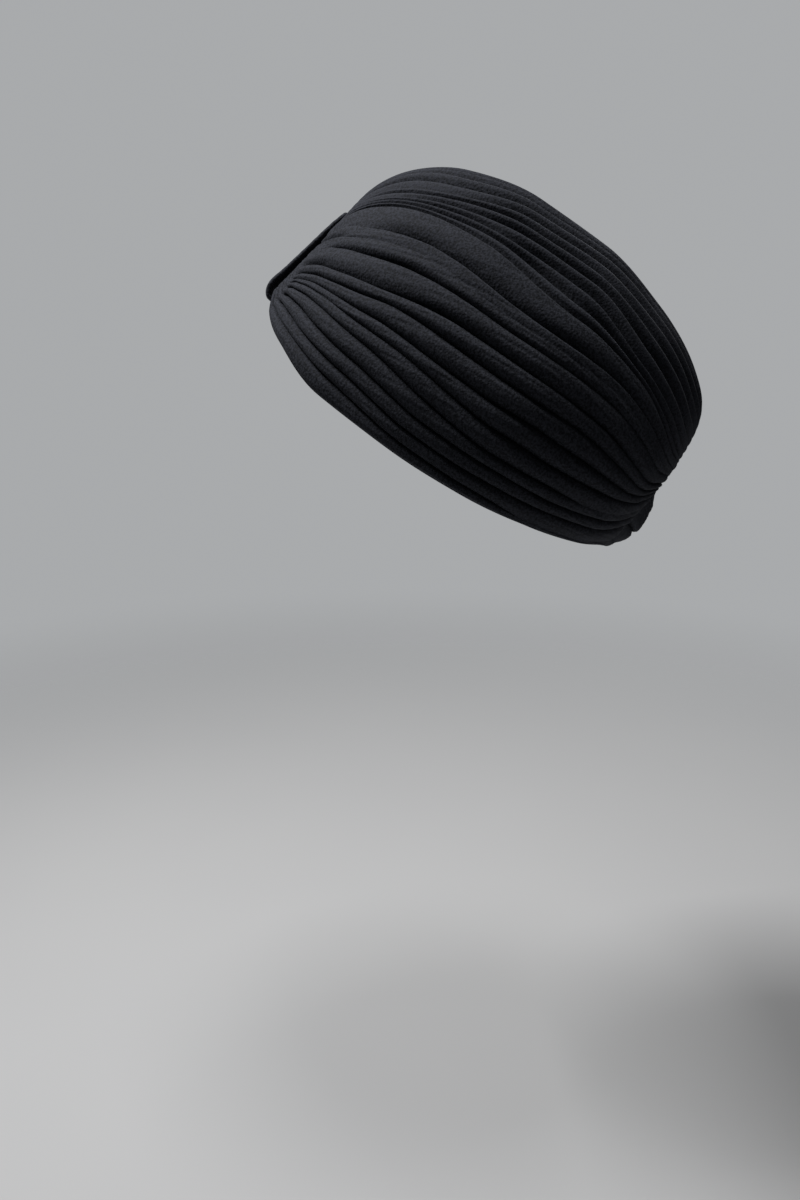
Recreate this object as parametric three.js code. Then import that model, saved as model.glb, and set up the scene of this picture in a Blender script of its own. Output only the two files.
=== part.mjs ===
// Turban headwrap: a hollow pleated cloth cap, gathered into a band at the brow and into a seam at the nape.
// Millimetres, Z up. The face looks along -Y and the wearer's left side is +X.
// The origin is the middle of the head opening.
import * as THREE from "three";

// Cloth and clearances
const CLOTH = 1.8;
const GAP = 0.3;
const SIDE_PLEAT_DEPTH = 2.8;
const CROWN_PLEAT_DEPTH = 2.4;
// A pleat is never deeper than this share of its own width
const DEEPEST_PLEAT_SHARE = 0.34;
const PLEAT_COLOUR = 0x333338;
const BAND_COLOUR = 0x303034;

// The head opening: its brow end, and how steeply it falls towards the nape
const BROW_Y = -84;
const BROW_Z = 64;
const OPENING_SLOPE = THREE.MathUtils.degToRad(34);

// Height of the widest line, as a share of the way from hem to crown
const WIDEST_AT = 0.32;
// How far the gathered nape seam swells out behind its two ends
const SEAM_SWELL = 8;
const SEAM_SWELL_FROM = 0.972;

// Front band
const BAND_WIDTH = 20;
const BAND_THICK = 2.4;
const BAND_CORNER = 0.7;
const BAND_STEPS = 30;

// Where the crown panel starts and ends along the cap
const CROWN_FROM = 0.02;
const CROWN_TO = 0.987;
// How far each end of the crown panel sinks, to pass under the band and under the side wraps at the seam
const FRONT_TUCK = { depth: 0.8, from: 0.07, to: 0.02 };
const SEAM_TUCK = { depth: 2.7, from: 0.92, to: 0.972 };
// The crown panel's tail, drawn towards the top of the seam on its inner side
const TAIL = { u: 207.5, w: 29, pull: 0.65 };
// Clear width of crown panel beside the free edge of a side wrap, as a share across
const EDGE_MARGIN = 0.008;

// Cross sections from brow to nape. s runs along the cap from 0 to 1.
// Along (U) and up (W) are measured in the sloping frame of the opening, from its brow end.
const SECTIONS = [
  { s: 0.0, crownU: 13.2, crownW: 49, hemU: 2.8, hemW: 4, hemX: 0.3, sideX: 0.34 },
  { s: 0.02, crownU: 13.4, crownW: 51.5, hemU: 2.8, hemW: 4.4, hemX: 10.5, sideX: 11.5 },
  { s: 0.05, crownU: 14.5, crownW: 61.5, hemU: 7, hemW: -5, hemX: 18, sideX: 24 },
  { s: 0.12, crownU: 22, crownW: 79.5, hemU: 19, hemW: -12.4, hemX: 34, sideX: 43 },
  { s: 0.25, crownU: 48, crownW: 99.5, hemU: 47, hemW: -20, hemX: 55, sideX: 66 },
  { s: 0.4, crownU: 83, crownW: 108, hemU: 85, hemW: -21, hemX: 71, sideX: 80 },
  { s: 0.55, crownU: 119, crownW: 108.5, hemU: 120, hemW: -19, hemX: 77, sideX: 85 },
  { s: 0.7, crownU: 156, crownW: 101.5, hemU: 154, hemW: -15, hemX: 70, sideX: 81 },
  { s: 0.82, crownU: 186, crownW: 89.5, hemU: 180, hemW: -10, hemX: 54, sideX: 67 },
  { s: 0.92, crownU: 205, crownW: 72, hemU: 197, hemW: -6, hemX: 32, sideX: 40 },
  { s: 0.97, crownU: 208, crownW: 48, hemU: 203.5, hemW: -6, hemX: 16, sideX: 18 },
  { s: 0.985, crownU: 210, crownW: 39, hemU: 206.5, hemW: -6.5, hemX: 8.5, sideX: 9.5 },
  { s: 1.0, crownU: 212, crownW: 30, hemU: 208, hemW: -6.5, hemX: 0.3, sideX: 0.34 },
];

// Places along the cap where the valleys between the pleats are given
const VALLEY_PLACES = {
  front: 0, band: 0.035, fan: 0.07, brow: 0.15, side: 0.25,
  ear: 0.4, rear: 0.55, back: 0.7, nape: 0.85, seam: 1,
};

// Valleys of a side wrap from hem to free edge, as shares across from 0 at the hem to 1 on the middle line
const SIDE_VALLEYS = [
  {
    front: 0, band: 0, fan: 0, brow: 0, side: 0,
    ear: 0, rear: 0, back: 0, nape: 0, seam: 0,
  },
  {
    front: 0.02, band: 0.028, fan: 0.068, brow: 0.07, side: 0.06,
    ear: 0.031, rear: 0.021, back: 0.02, nape: 0.03, seam: 0.05,
  },
  {
    front: 0.045, band: 0.055, fan: 0.135, brow: 0.12, side: 0.105,
    ear: 0.065, rear: 0.053, back: 0.065, nape: 0.1, seam: 0.1,
  },
  {
    front: 0.08, band: 0.12, fan: 0.205, brow: 0.179, side: 0.153,
    ear: 0.101, rear: 0.086, back: 0.102, nape: 0.155, seam: 0.16,
  },
  {
    front: 0.115, band: 0.18, fan: 0.263, brow: 0.241, side: 0.211,
    ear: 0.147, rear: 0.115, back: 0.136, nape: 0.205, seam: 0.22,
  },
  {
    front: 0.145, band: 0.22, fan: 0.3, brow: 0.277, side: 0.25,
    ear: 0.195, rear: 0.161, back: 0.188, nape: 0.26, seam: 0.275,
  },
  {
    front: 0.175, band: 0.252, fan: 0.318, brow: 0.296, side: 0.281,
    ear: 0.229, rear: 0.208, back: 0.243, nape: 0.3, seam: 0.33,
  },
  {
    front: 0.205, band: 0.29, fan: 0.337, brow: 0.322, side: 0.322,
    ear: 0.282, rear: 0.261, back: 0.298, nape: 0.325, seam: 0.385,
  },
  {
    front: 0.25, band: 0.35, fan: 0.385, brow: 0.357, side: 0.351,
    ear: 0.327, rear: 0.31, back: 0.34, nape: 0.355, seam: 0.44,
  },
  {
    front: 0.33, band: 0.43, fan: 0.445, brow: 0.431, side: 0.42,
    ear: 0.382, rear: 0.366, back: 0.397, nape: 0.405, seam: 0.495,
  },
  {
    front: 0.5, band: 0.53, fan: 0.54, brow: 0.512, side: 0.5,
    ear: 0.445, rear: 0.42, back: 0.452, nape: 0.45, seam: 0.55,
  },
  {
    front: 0.6, band: 0.61, fan: 0.617, brow: 0.607, side: 0.581,
    ear: 0.53, rear: 0.491, back: 0.502, nape: 0.485, seam: 0.61,
  },
];

// Valleys of the crown panel from the free edge of the side wrap to the middle line
const CROWN_VALLEYS = [
  {
    front: 0.617, band: 0.626, fan: 0.632, brow: 0.622, side: 0.598,
    ear: 0.563, rear: 0.529, back: 0.522, nape: 0.51, seam: 0.635,
  },
  {
    front: 0.634, band: 0.64, fan: 0.645, brow: 0.634, side: 0.618,
    ear: 0.592, rear: 0.579, back: 0.548, nape: 0.545, seam: 0.665,
  },
  {
    front: 0.65, band: 0.655, fan: 0.66, brow: 0.645, side: 0.637,
    ear: 0.63, rear: 0.623, back: 0.605, nape: 0.59, seam: 0.7,
  },
  {
    front: 0.68, band: 0.68, fan: 0.68, brow: 0.672, side: 0.66,
    ear: 0.666, rear: 0.668, back: 0.66, nape: 0.645, seam: 0.735,
  },
  {
    front: 0.7, band: 0.7, fan: 0.7, brow: 0.697, side: 0.68,
    ear: 0.703, rear: 0.713, back: 0.72, nape: 0.7, seam: 0.77,
  },
  {
    front: 0.76, band: 0.76, fan: 0.765, brow: 0.767, side: 0.735,
    ear: 0.753, rear: 0.77, back: 0.775, nape: 0.755, seam: 0.81,
  },
  {
    front: 0.82, band: 0.82, fan: 0.825, brow: 0.828, side: 0.803,
    ear: 0.806, rear: 0.825, back: 0.83, nape: 0.815, seam: 0.85,
  },
  {
    front: 0.87, band: 0.87, fan: 0.87, brow: 0.87, side: 0.86,
    ear: 0.86, rear: 0.865, back: 0.87, nape: 0.865, seam: 0.885,
  },
  {
    front: 0.92, band: 0.92, fan: 0.92, brow: 0.92, side: 0.915,
    ear: 0.915, rear: 0.915, back: 0.915, nape: 0.915, seam: 0.925,
  },
  {
    front: 0.97, band: 0.97, fan: 0.97, brow: 0.97, side: 0.97,
    ear: 0.97, rear: 0.97, back: 0.97, nape: 0.97, seam: 0.97,
  },
];

// Profile across one pleat: a side pleat climbs to a crisp upper edge, a crown pleat is an even rib
const SIDE_PROFILE = [{ across: 0, rise: 0 }, { across: 0.4, rise: 0.85 }, { across: 0.84, rise: 1 }];
const CROWN_PROFILE = [{ across: 0, rise: 0 }, { across: 0.3, rise: 0.9 }, { across: 0.7, rise: 0.9 }];
// Points of the last side pleat, up to its free edge, that lie over the crown panel
const LAPPED_POINTS = 3;
const FREE_EDGE_RISE = 0.8;
// Flat top of the rib on the middle line, as a share of its width
const MIDDLE_RIB_TOP = 0.45;

// Sections of the mesh along the cap
const SIDE_STEPS = [
  0, 0.02, 0.035, 0.052, 0.08, 0.13, 0.2, 0.28, 0.36, 0.45, 0.54,
  0.62, 0.7, 0.77, 0.83, 0.88, 0.92, 0.95, 0.972, 0.986, 1,
];

// Path of the front band in the middle plane, along and up, from inside the hem to inside the crown
const BAND_PATH = [
  { u: 8.4, w: 10 }, { u: 8.2, w: 5.5 }, { u: 6, w: 1.9 }, { u: 2.2, w: 1.9 }, { u: -0.1, w: 6.4 },
  { u: 2.6, w: 16.5 }, { u: 5.6, w: 27.5 }, { u: 10.4, w: 45.5 }, { u: 12.4, w: 53 },
];

// Values of a table column at x, by a cubic that never overshoots its rows
function column(xs, ys, x) {
  const last = xs.length - 2;
  const span = xs.map((_, i) => xs[i + 1] - xs[i]);
  const rate = ys.map((_, i) => (ys[i + 1] - ys[i]) / span[i]);
  const tangent = ys.map((_, i) => {
    if (i === 0) return rate[0];
    if (i > last) return rate[last];
    return rate[i - 1] * rate[i] <= 0 ? 0 : 2 / (1 / rate[i - 1] + 1 / rate[i]);
  });
  let i = 0;
  while (i < last && x > xs[i + 1]) i += 1;
  const t = THREE.MathUtils.clamp((x - xs[i]) / span[i], 0, 1);
  const bend = t * t * (3 - 2 * t);
  const leave = t * (1 - t) * (1 - t) * span[i] * tangent[i];
  const arrive = t * t * (1 - t) * span[i] * tangent[i + 1];
  return ys[i] + (ys[i + 1] - ys[i]) * bend + leave - arrive;
}

const SECTION_S = SECTIONS.map((row) => row.s);
const VALLEY_S = Object.values(VALLEY_PLACES);

function sectionAt(s) {
  const at = (name) => column(SECTION_S, SECTIONS.map((row) => row[name]), s);
  return {
    crownU: at("crownU"), crownW: at("crownW"), hemU: at("hemU"), hemW: at("hemW"), hemX: at("hemX"),
    sideX: at("sideX"),
  };
}

function valleyAt(row, s) {
  return column(VALLEY_S, Object.keys(VALLEY_PLACES).map((name) => row[name]), s);
}

// A point given in the sloping frame of the opening
function fromOpening(x, u, w) {
  const y = BROW_Y + u * Math.cos(OPENING_SLOPE) + w * Math.sin(OPENING_SLOPE);
  const z = BROW_Z - u * Math.sin(OPENING_SLOPE) + w * Math.cos(OPENING_SLOPE);
  return new THREE.Vector3(x, y, z);
}

// Outer form of the cap on the wearer's left: a is 0 at the hem and 1 on the middle line over the crown
function form(section, s, a) {
  const tuck = Math.acos(Math.min(section.hemX / section.sideX, 1));
  const angle = -tuck + a * (Math.PI / 2 + tuck);
  const below = WIDEST_AT * (1 + Math.sin(angle) / Math.max(Math.sin(tuck), 1e-6));
  const above = WIDEST_AT + (1 - WIDEST_AT) * Math.sin(angle);
  const height = angle > 0 ? above : below;
  const swell = SEAM_SWELL * THREE.MathUtils.smoothstep(s, SEAM_SWELL_FROM, 1) * Math.sin(Math.PI * height);
  const u = section.hemU + (section.crownU - section.hemU) * height + swell;
  const w = section.hemW + (section.crownW - section.hemW) * height;
  return fromOpening(section.sideX * Math.cos(angle), u, w);
}

// Outward normal of a grid of points at one of them
function gridNormal(grid, i, j) {
  const alongFrom = grid[Math.max(i - 1, 0)][j];
  const alongTo = grid[Math.min(i + 1, grid.length - 1)][j];
  const acrossFrom = grid[i][Math.max(j - 1, 0)];
  const acrossTo = grid[i][Math.min(j + 1, grid[i].length - 1)];
  const along = alongTo.clone().sub(alongFrom);
  return along.cross(acrossTo.clone().sub(acrossFrom)).normalize();
}

// A grid moved inwards along its own normals
function sunk(grid, distance) {
  const moved = (p, i, j) => p.clone().addScaledVector(gridNormal(grid, i, j), -distance);
  return grid.map((row, i) => row.map((p, j) => moved(p, i, j)));
}

function mirrored(p) {
  return new THREE.Vector3(-p.x, p.y, p.z);
}

// Geometry from a list of points and a list of triangle corners
function geometryFrom(points, index) {
  const places = points.flatMap((p) => [p.x, p.y, p.z]);
  const geometry = new THREE.BufferGeometry();
  geometry.setAttribute("position", new THREE.Float32BufferAttribute(places, 3));
  geometry.setIndex(index);
  geometry.computeVertexNormals();
  return geometry;
}

// Closed wall between an outer and an inner grid of points
function wallGeometry(outer, inner) {
  const along = outer.length;
  const across = outer[0].length;
  const points = [...outer.flat(), ...inner.flat()];
  const out = (i, j) => i * across + j;
  const into = (i, j) => along * across + out(i, j);
  const index = [];
  const quad = (a, b, c, d) => index.push(a, b, c, a, c, d);
  for (let i = 0; i + 1 < along; i += 1) {
    for (let j = 0; j + 1 < across; j += 1) {
      quad(out(i, j), out(i + 1, j), out(i + 1, j + 1), out(i, j + 1));
      quad(into(i, j), into(i, j + 1), into(i + 1, j + 1), into(i + 1, j));
    }
    quad(out(i, 0), into(i, 0), into(i + 1, 0), out(i + 1, 0));
    quad(out(i, across - 1), out(i + 1, across - 1), into(i + 1, across - 1), into(i, across - 1));
  }
  for (let j = 0; j + 1 < across; j += 1) {
    quad(out(0, j), out(0, j + 1), into(0, j + 1), into(0, j));
    quad(out(along - 1, j), into(along - 1, j), into(along - 1, j + 1), out(along - 1, j + 1));
  }
  return geometryFrom(points, index);
}

// Half girth of the cap at s, from hem to middle line
function halfGirth(section, s) {
  const steps = 24;
  const points = Array.from({ length: steps + 1 }, (_, k) => form(section, s, k / steps));
  return points.slice(1).reduce((sum, p, k) => sum + p.distanceTo(points[k]), 0);
}

// Stations across a run of pleats at one s: where each lies and how far it sinks below the form
function pleatStations(valleys, profile, depth, girth) {
  const stations = [];
  for (let i = 0; i + 1 < valleys.length; i += 1) {
    const width = valleys[i + 1] - valleys[i];
    const sink = Math.min(depth, DEEPEST_PLEAT_SHARE * width * girth);
    for (const { across, rise } of profile) {
      stations.push({ a: valleys[i] + across * width, sink: sink * (1 - rise) });
    }
  }
  return stations;
}

// A point of the form, sunk along the form's own normal
function sunkForm(s, a, sink) {
  const step = 1e-3;
  const here = sectionAt(s);
  const point = form(here, s, a);
  const back = Math.max(s - step, 0);
  const ahead = Math.min(s + step, 1);
  const along = form(sectionAt(ahead), ahead, a).sub(form(sectionAt(back), back, a));
  const across = form(here, s, Math.min(a + step, 1)).sub(form(here, s, a - step));
  if (a + step > 1) across.set(-1, 0, 0);
  return point.addScaledVector(along.cross(across).normalize(), -sink);
}

// Outer points of the left side wrap at one s, from hem to free edge
function sideRow(s) {
  const girth = halfGirth(sectionAt(s), s);
  const valleys = SIDE_VALLEYS.map((row) => valleyAt(row, s));
  const stations = pleatStations(valleys, SIDE_PROFILE, SIDE_PLEAT_DEPTH, girth);
  const edge = valleys.at(-1);
  const lastWidth = edge - valleys.at(-2);
  const deepest = Math.min(SIDE_PLEAT_DEPTH, DEEPEST_PLEAT_SHARE * lastWidth * girth);
  stations.push({ a: edge, sink: deepest * (1 - FREE_EDGE_RISE) });
  return stations.map(({ a, sink }) => sunkForm(s, a, sink));
}

// How far the crown panel sinks at s to pass under the band, and under the side wraps at the seam
function frontTuck(s) {
  return FRONT_TUCK.depth * (1 - THREE.MathUtils.smoothstep(s, FRONT_TUCK.to, FRONT_TUCK.from));
}

function seamTuck(s) {
  return SEAM_TUCK.depth * THREE.MathUtils.smoothstep(s, SEAM_TUCK.from, SEAM_TUCK.to);
}

// Outer points of the left half of the crown panel at one s, from beside the free edge to the middle line
function crownHalfRow(s) {
  const girth = halfGirth(sectionAt(s), s);
  const edge = valleyAt(SIDE_VALLEYS.at(-1), s);
  const valleys = [edge + EDGE_MARGIN, ...CROWN_VALLEYS.map((row) => valleyAt(row, s))];
  const stations = pleatStations(valleys, CROWN_PROFILE, CROWN_PLEAT_DEPTH, girth);
  const lapDepth = CLOTH + GAP;
  stations[0].sink = Math.max(stations[0].sink, lapDepth);
  const tuck = frontTuck(s) + seamTuck(s);
  const halfRib = 1 - valleys.at(-1);
  const middleSink = Math.min(CROWN_PLEAT_DEPTH, DEEPEST_PLEAT_SHARE * 2 * halfRib * girth);
  stations.push({ a: 1 - halfRib, sink: middleSink }, { a: 1 - MIDDLE_RIB_TOP * halfRib, sink: 0 });
  return stations.map(({ a, sink }) => sunkForm(s, a, sink + tuck));
}

// One named piece in matte cloth of the given colour
function named(name, geometry, colour) {
  const cloth = new THREE.MeshStandardMaterial({ color: colour, roughness: 0.92, metalness: 0 });
  const mesh = new THREE.Mesh(geometry, cloth);
  mesh.name = name;
  return mesh;
}

// Side wraps: one grid, and its mirror image with the order across reversed
function sideWraps() {
  const offMiddle = (p) => p.setX(Math.max(p.x, GAP / 2));
  const outer = SIDE_STEPS.map((s) => sideRow(s).map(offMiddle));
  const inner = sunk(outer, CLOTH).map((row) => row.map(offMiddle));
  const flip = (grid) => grid.map((row) => row.map(mirrored).reverse());
  return {
    outer,
    left: wallGeometry(outer, inner),
    right: wallGeometry(flip(outer), flip(inner)),
  };
}

// Crown panel: its two edges run under the free edges of the side wraps
function crownGeometry(sideOuter) {
  const rows = [];
  SIDE_STEPS.forEach((s, i) => {
    if (s < CROWN_FROM || s > CROWN_TO) return;
    const underSide = sunk(sideOuter, CLOTH + GAP + seamTuck(s))[i].slice(-LAPPED_POINTS);
    const half = [...underSide, ...crownHalfRow(s)];
    rows.push([...half, ...half.map(mirrored).reverse()]);
  });
  const inner = sunk(rows, CLOTH);
  const tailTo = (row, target) => row.map((p) => p.clone().lerp(target, TAIL.pull));
  const outerTail = tailTo(rows.at(-1), fromOpening(0, TAIL.u, TAIL.w));
  const innerTail = tailTo(inner.at(-1), fromOpening(0, TAIL.u - CLOTH, TAIL.w));
  return wallGeometry([...rows, outerTail], [...inner, innerTail]);
}

// Front band: a flat strap swept along its path
function bandGeometry() {
  const stops = BAND_PATH.map(({ u, w }) => fromOpening(0, u, w));
  const path = new THREE.CatmullRomCurve3(stops, false, "centripetal");
  const half = BAND_WIDTH / 2;
  const thick = BAND_THICK / 2;
  const corner = BAND_CORNER;
  const section = [
    [-half, thick - corner], [-half + corner, thick], [half - corner, thick], [half, thick - corner],
    [half, -thick + corner], [half - corner, -thick], [-half + corner, -thick], [-half, -thick + corner],
  ];
  const points = [];
  for (let i = 0; i <= BAND_STEPS; i += 1) {
    const at = path.getPointAt(i / BAND_STEPS);
    const along = path.getTangentAt(i / BAND_STEPS);
    const out = new THREE.Vector3(1, 0, 0).cross(along).normalize();
    section.forEach(([x, rise]) => points.push(at.clone().addScaledVector(out, rise).setX(x)));
  }
  const sides = section.length;
  const index = [];
  for (let i = 0; i < BAND_STEPS; i += 1) {
    for (let k = 0; k < sides; k += 1) {
      const next = (k + 1) % sides;
      const [a, b] = [i * sides + k, i * sides + next];
      index.push(a, b, b + sides, a, b + sides, a + sides);
    }
  }
  const end = BAND_STEPS * sides;
  for (let k = 1; k + 1 < sides; k += 1) {
    index.push(0, k + 1, k);
    index.push(end, end + k, end + k + 1);
  }
  return geometryFrom(points, index);
}

const headwrap = new THREE.Group();
const sides = sideWraps();
headwrap.add(named("side_wrap_left", sides.left, PLEAT_COLOUR));
headwrap.add(named("side_wrap_right", sides.right, PLEAT_COLOUR));
headwrap.add(named("crown_panel", crownGeometry(sides.outer), PLEAT_COLOUR));
headwrap.add(named("front_band", bandGeometry(), BAND_COLOUR));

export default headwrap;
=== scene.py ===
import logging
import math
from dataclasses import dataclass, field, fields
from enum import Enum

import bmesh
import bpy
import numpy as np
from bpy.types import Material, Node, NodeSocket, NodeTree, Object
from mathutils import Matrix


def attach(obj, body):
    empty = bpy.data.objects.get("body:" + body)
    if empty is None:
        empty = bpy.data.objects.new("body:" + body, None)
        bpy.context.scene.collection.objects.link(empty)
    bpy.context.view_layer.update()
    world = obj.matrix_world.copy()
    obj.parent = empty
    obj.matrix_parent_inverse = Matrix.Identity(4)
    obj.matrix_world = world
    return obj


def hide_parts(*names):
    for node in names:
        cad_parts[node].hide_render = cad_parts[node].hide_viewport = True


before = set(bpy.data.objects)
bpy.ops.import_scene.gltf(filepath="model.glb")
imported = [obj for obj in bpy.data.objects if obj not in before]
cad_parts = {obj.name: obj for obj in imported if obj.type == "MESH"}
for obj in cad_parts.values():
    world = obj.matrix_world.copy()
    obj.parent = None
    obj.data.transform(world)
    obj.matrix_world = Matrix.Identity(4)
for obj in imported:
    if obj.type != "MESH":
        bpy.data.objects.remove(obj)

log = logging.getLogger("headwrap")

Array = np.ndarray
Pair = tuple[float, float]
Triple = tuple[float, float, float]
# Columns across one pleat, each with its reach, its sink and its crest at every row
PleatColumns = list[tuple[Array, Array, Array]]

MM = 0.001
# Keeps a divisor off 0, and joins points that lie on each other
TINY = 1e-6
# The crest attribute lightens the cloth's colour towards the crests: its low values paint shade in the
# valleys and on cloth turned, lapped or tucked under
CREST_ATTRIBUTE = "crest"

CLOTH_THICK = 0.9 * MM
# A pleat is not deeper than this share of its own width, unless its run says otherwise
DEEPEST_PLEAT_SHARE = 0.54

# Each piece draws its small irregularities from seeds of its own
LEFT_SEED = 11
RIGHT_SEED = 83
CROWN_SEED = 205
# Steps from a piece's seed to those of its valleys' depths, its ripples and its other half
DEPTH_SEED_STEP = 40
RIPPLE_SEED_STEP = 7
HALF_SEED_STEP = 300


class PleatStyle(Enum):
    """How the cloth of a pleat lies: lapped over the pleat above it, or standing as an even rib."""

    LAPPED = "lapped"
    RIB = "rib"


class WearSide(Enum):
    """A side of the wrap as it sits on the head, with the sign of its X."""

    LEFT = 1
    RIGHT = -1


@dataclass(frozen=True)
class Section:
    """One cross section of the cap, in millimetres along (u) and up (w) the sloping head opening."""

    s: float
    crown_u: float
    crown_w: float
    hem_u: float
    hem_w: float
    hem_x: float
    side_x: float


SECTIONS = (
    Section(0.0, 13.2, 49, 2.8, 4, 0.3, 0.34),
    Section(0.02, 14.2, 51.5, 2.6, 4.4, 9.6, 10.2),
    Section(0.05, 14.5, 61.5, 7, -5, 18, 24),
    Section(0.12, 22, 79.5, 19, -12.4, 34, 43),
    Section(0.25, 48, 99.5, 47, -20, 55, 66),
    Section(0.4, 83, 108, 85, -21, 71, 80),
    Section(0.55, 119, 108.5, 120, -19, 77, 85),
    Section(0.7, 156, 101.5, 154, -15, 70, 81),
    Section(0.82, 186, 89.5, 180, -10, 54, 67),
    Section(0.92, 205, 72, 197, -6, 32, 40),
    Section(0.97, 208, 48, 203.5, -6, 16, 18),
    Section(0.985, 210, 39, 206.5, -6.5, 8.5, 9.5),
    Section(1.0, 212, 30, 208, -6.5, 0.3, 0.34),
)


@dataclass(frozen=True)
class Valley:
    """Course of one valley between pleats: its share across at ten places along the cap.

    The share is 0 at the hem and 1 on the middle line. depth is a share of the pleats' full depth,
    and the valley fades out before starts and after ends.
    """

    front: float
    band: float
    fan: float
    brow: float
    side: float
    ear: float
    rear: float
    back: float
    nape: float
    seam: float
    depth: float = 1.0
    starts: float = -1.0
    ends: float = 2.0

    def course(self, s: Array) -> Array:
        """Return the valley's share across at s."""
        places = [entry.name for entry in fields(self)][: len(VALLEY_PLACES)]
        return smooth_column(VALLEY_PLACES, np.array([getattr(self, place) for place in places]), s)

    def fade(self, s: Array) -> Array:
        """Return how much of the valley's depth is there at s."""
        fade = smoothstep(self.starts, self.starts + FADE, s)
        return fade * (1 - smoothstep(self.ends, self.ends + FADE, s))


VALLEY_PLACES = np.array((0.0, 0.035, 0.07, 0.15, 0.25, 0.4, 0.55, 0.7, 0.85, 1.0))
# Length along the cap over which a valley fades
FADE = 0.1

SIDE_VALLEYS = (
    Valley(0, 0, 0, 0, 0, 0, 0, 0, 0, 0, depth=0.45),
    Valley(0.03, 0.055, 0.078, 0.073, 0.06, 0.031, 0.021, 0.02, 0.03, 0.11, depth=0.8, ends=0.6),
    Valley(0.06, 0.105, 0.14, 0.122, 0.105, 0.065, 0.053, 0.065, 0.1, 0.27),
    Valley(0.085, 0.152, 0.2, 0.179, 0.153, 0.101, 0.086, 0.102, 0.155, 0.4, ends=0.84),
    Valley(0.115, 0.197, 0.253, 0.238, 0.211, 0.147, 0.115, 0.136, 0.205, 0.455, ends=0.68),
    Valley(0.14, 0.232, 0.288, 0.275, 0.25, 0.195, 0.161, 0.188, 0.26, 0.49),
    Valley(0.17, 0.262, 0.312, 0.3, 0.281, 0.229, 0.208, 0.243, 0.3, 0.515, ends=0.9),
    Valley(0.21, 0.298, 0.34, 0.326, 0.322, 0.282, 0.261, 0.298, 0.325, 0.535, ends=0.9),
    Valley(0.26, 0.352, 0.38, 0.36, 0.351, 0.327, 0.31, 0.34, 0.355, 0.552, depth=0.9),
    Valley(0.33, 0.43, 0.445, 0.431, 0.42, 0.382, 0.366, 0.397, 0.405, 0.568, starts=0.08),
    Valley(0.42, 0.483, 0.49, 0.475, 0.465, 0.413, 0.393, 0.425, 0.43, 0.578, depth=0.8, ends=0.05),
    Valley(0.5, 0.53, 0.54, 0.512, 0.5, 0.445, 0.42, 0.452, 0.45, 0.588, starts=0.14),
    Valley(0.6, 0.61, 0.617, 0.607, 0.581, 0.53, 0.491, 0.502, 0.485, 0.61, depth=0.4),
)

CROWN_VALLEYS = (
    Valley(0.617, 0.626, 0.632, 0.622, 0.598, 0.563, 0.529, 0.522, 0.51, 0.635, depth=0.85),
    Valley(0.634, 0.64, 0.645, 0.634, 0.618, 0.592, 0.579, 0.548, 0.545, 0.665, depth=0.8, starts=0.06),
    Valley(0.65, 0.655, 0.66, 0.645, 0.637, 0.63, 0.623, 0.605, 0.59, 0.7),
    Valley(0.68, 0.68, 0.68, 0.672, 0.66, 0.666, 0.668, 0.66, 0.645, 0.735, depth=0.85, starts=0.06),
    Valley(0.7, 0.7, 0.7, 0.697, 0.68, 0.703, 0.713, 0.72, 0.7, 0.77, depth=1.15),
    Valley(0.76, 0.76, 0.765, 0.767, 0.735, 0.753, 0.77, 0.775, 0.755, 0.81, depth=1.1),
    Valley(0.82, 0.82, 0.825, 0.828, 0.803, 0.806, 0.825, 0.83, 0.815, 0.85, depth=0.95),
    Valley(0.87, 0.87, 0.87, 0.87, 0.86, 0.86, 0.865, 0.87, 0.865, 0.885, depth=1.1),
    Valley(0.92, 0.92, 0.92, 0.92, 0.915, 0.915, 0.915, 0.915, 0.915, 0.925, depth=0.9),
    Valley(0.97, 0.97, 0.97, 0.97, 0.97, 0.97, 0.97, 0.97, 0.97, 0.97, depth=0.9),
)


@dataclass(frozen=True)
class FoldPoint:
    """One point across a lapped pleat: how far it reaches, and how far it has risen or dropped."""

    reach: float
    height: float


# The foot of a lapped pleat comes out from under the pleat below it and climbs to its full height
FOOT = (
    FoldPoint(0.0, 0.0),
    FoldPoint(0.04, 0.13),
    FoldPoint(0.11, 0.29),
    FoldPoint(0.22, 0.48),
    FoldPoint(0.38, 0.69),
    FoldPoint(0.57, 0.85),
    FoldPoint(0.78, 0.96),
    FoldPoint(1.0, 1.0),
)
# The lip is the folded upper edge: reach is measured back from the valley, so below 0 it overhangs
LIP = (
    FoldPoint(1.0, 0.0),
    FoldPoint(0.74, 0.015),
    FoldPoint(0.5, 0.06),
    FoldPoint(0.26, 0.14),
    FoldPoint(0.05, 0.26),
    FoldPoint(-0.12, 0.42),
    FoldPoint(-0.19, 0.6),
    FoldPoint(-0.12, 0.8),
)
BODY_COLUMNS = 3
RIB_COLUMNS = 11
# How sharply a rib falls into its valleys
RIB_POWER = 1.7
# Where the crest of a rib lies across it
RIB_CREST = 0.62


def smooth_column(xs: Array, ys: Array, x: Array) -> Array:
    """Read a table column by a cubic that never overshoots its rows.

    Args:
        xs: where the rows lie.
        ys: the column's values.
        x: where to read it.

    Returns:
        The values at x.
    """
    span = np.diff(xs)
    rate = np.diff(ys) / span
    same_way = rate[:-1] * rate[1:] > 0
    total = np.where(same_way, rate[:-1] + rate[1:], 1.0)
    inner = np.where(same_way, 2 * rate[:-1] * rate[1:] / total, 0.0)
    tangent = np.concatenate(([rate[0]], inner, [rate[-1]]))
    i = np.clip(np.searchsorted(xs, x, side="right") - 1, 0, len(span) - 1)
    t = np.clip((x - xs[i]) / span[i], 0, 1)
    bend = t * t * (3 - 2 * t)
    leave = t * (1 - t) ** 2 * span[i] * tangent[i]
    arrive = t * t * (1 - t) * span[i] * tangent[i + 1]
    return ys[i] + (ys[i + 1] - ys[i]) * bend + leave - arrive


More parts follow.
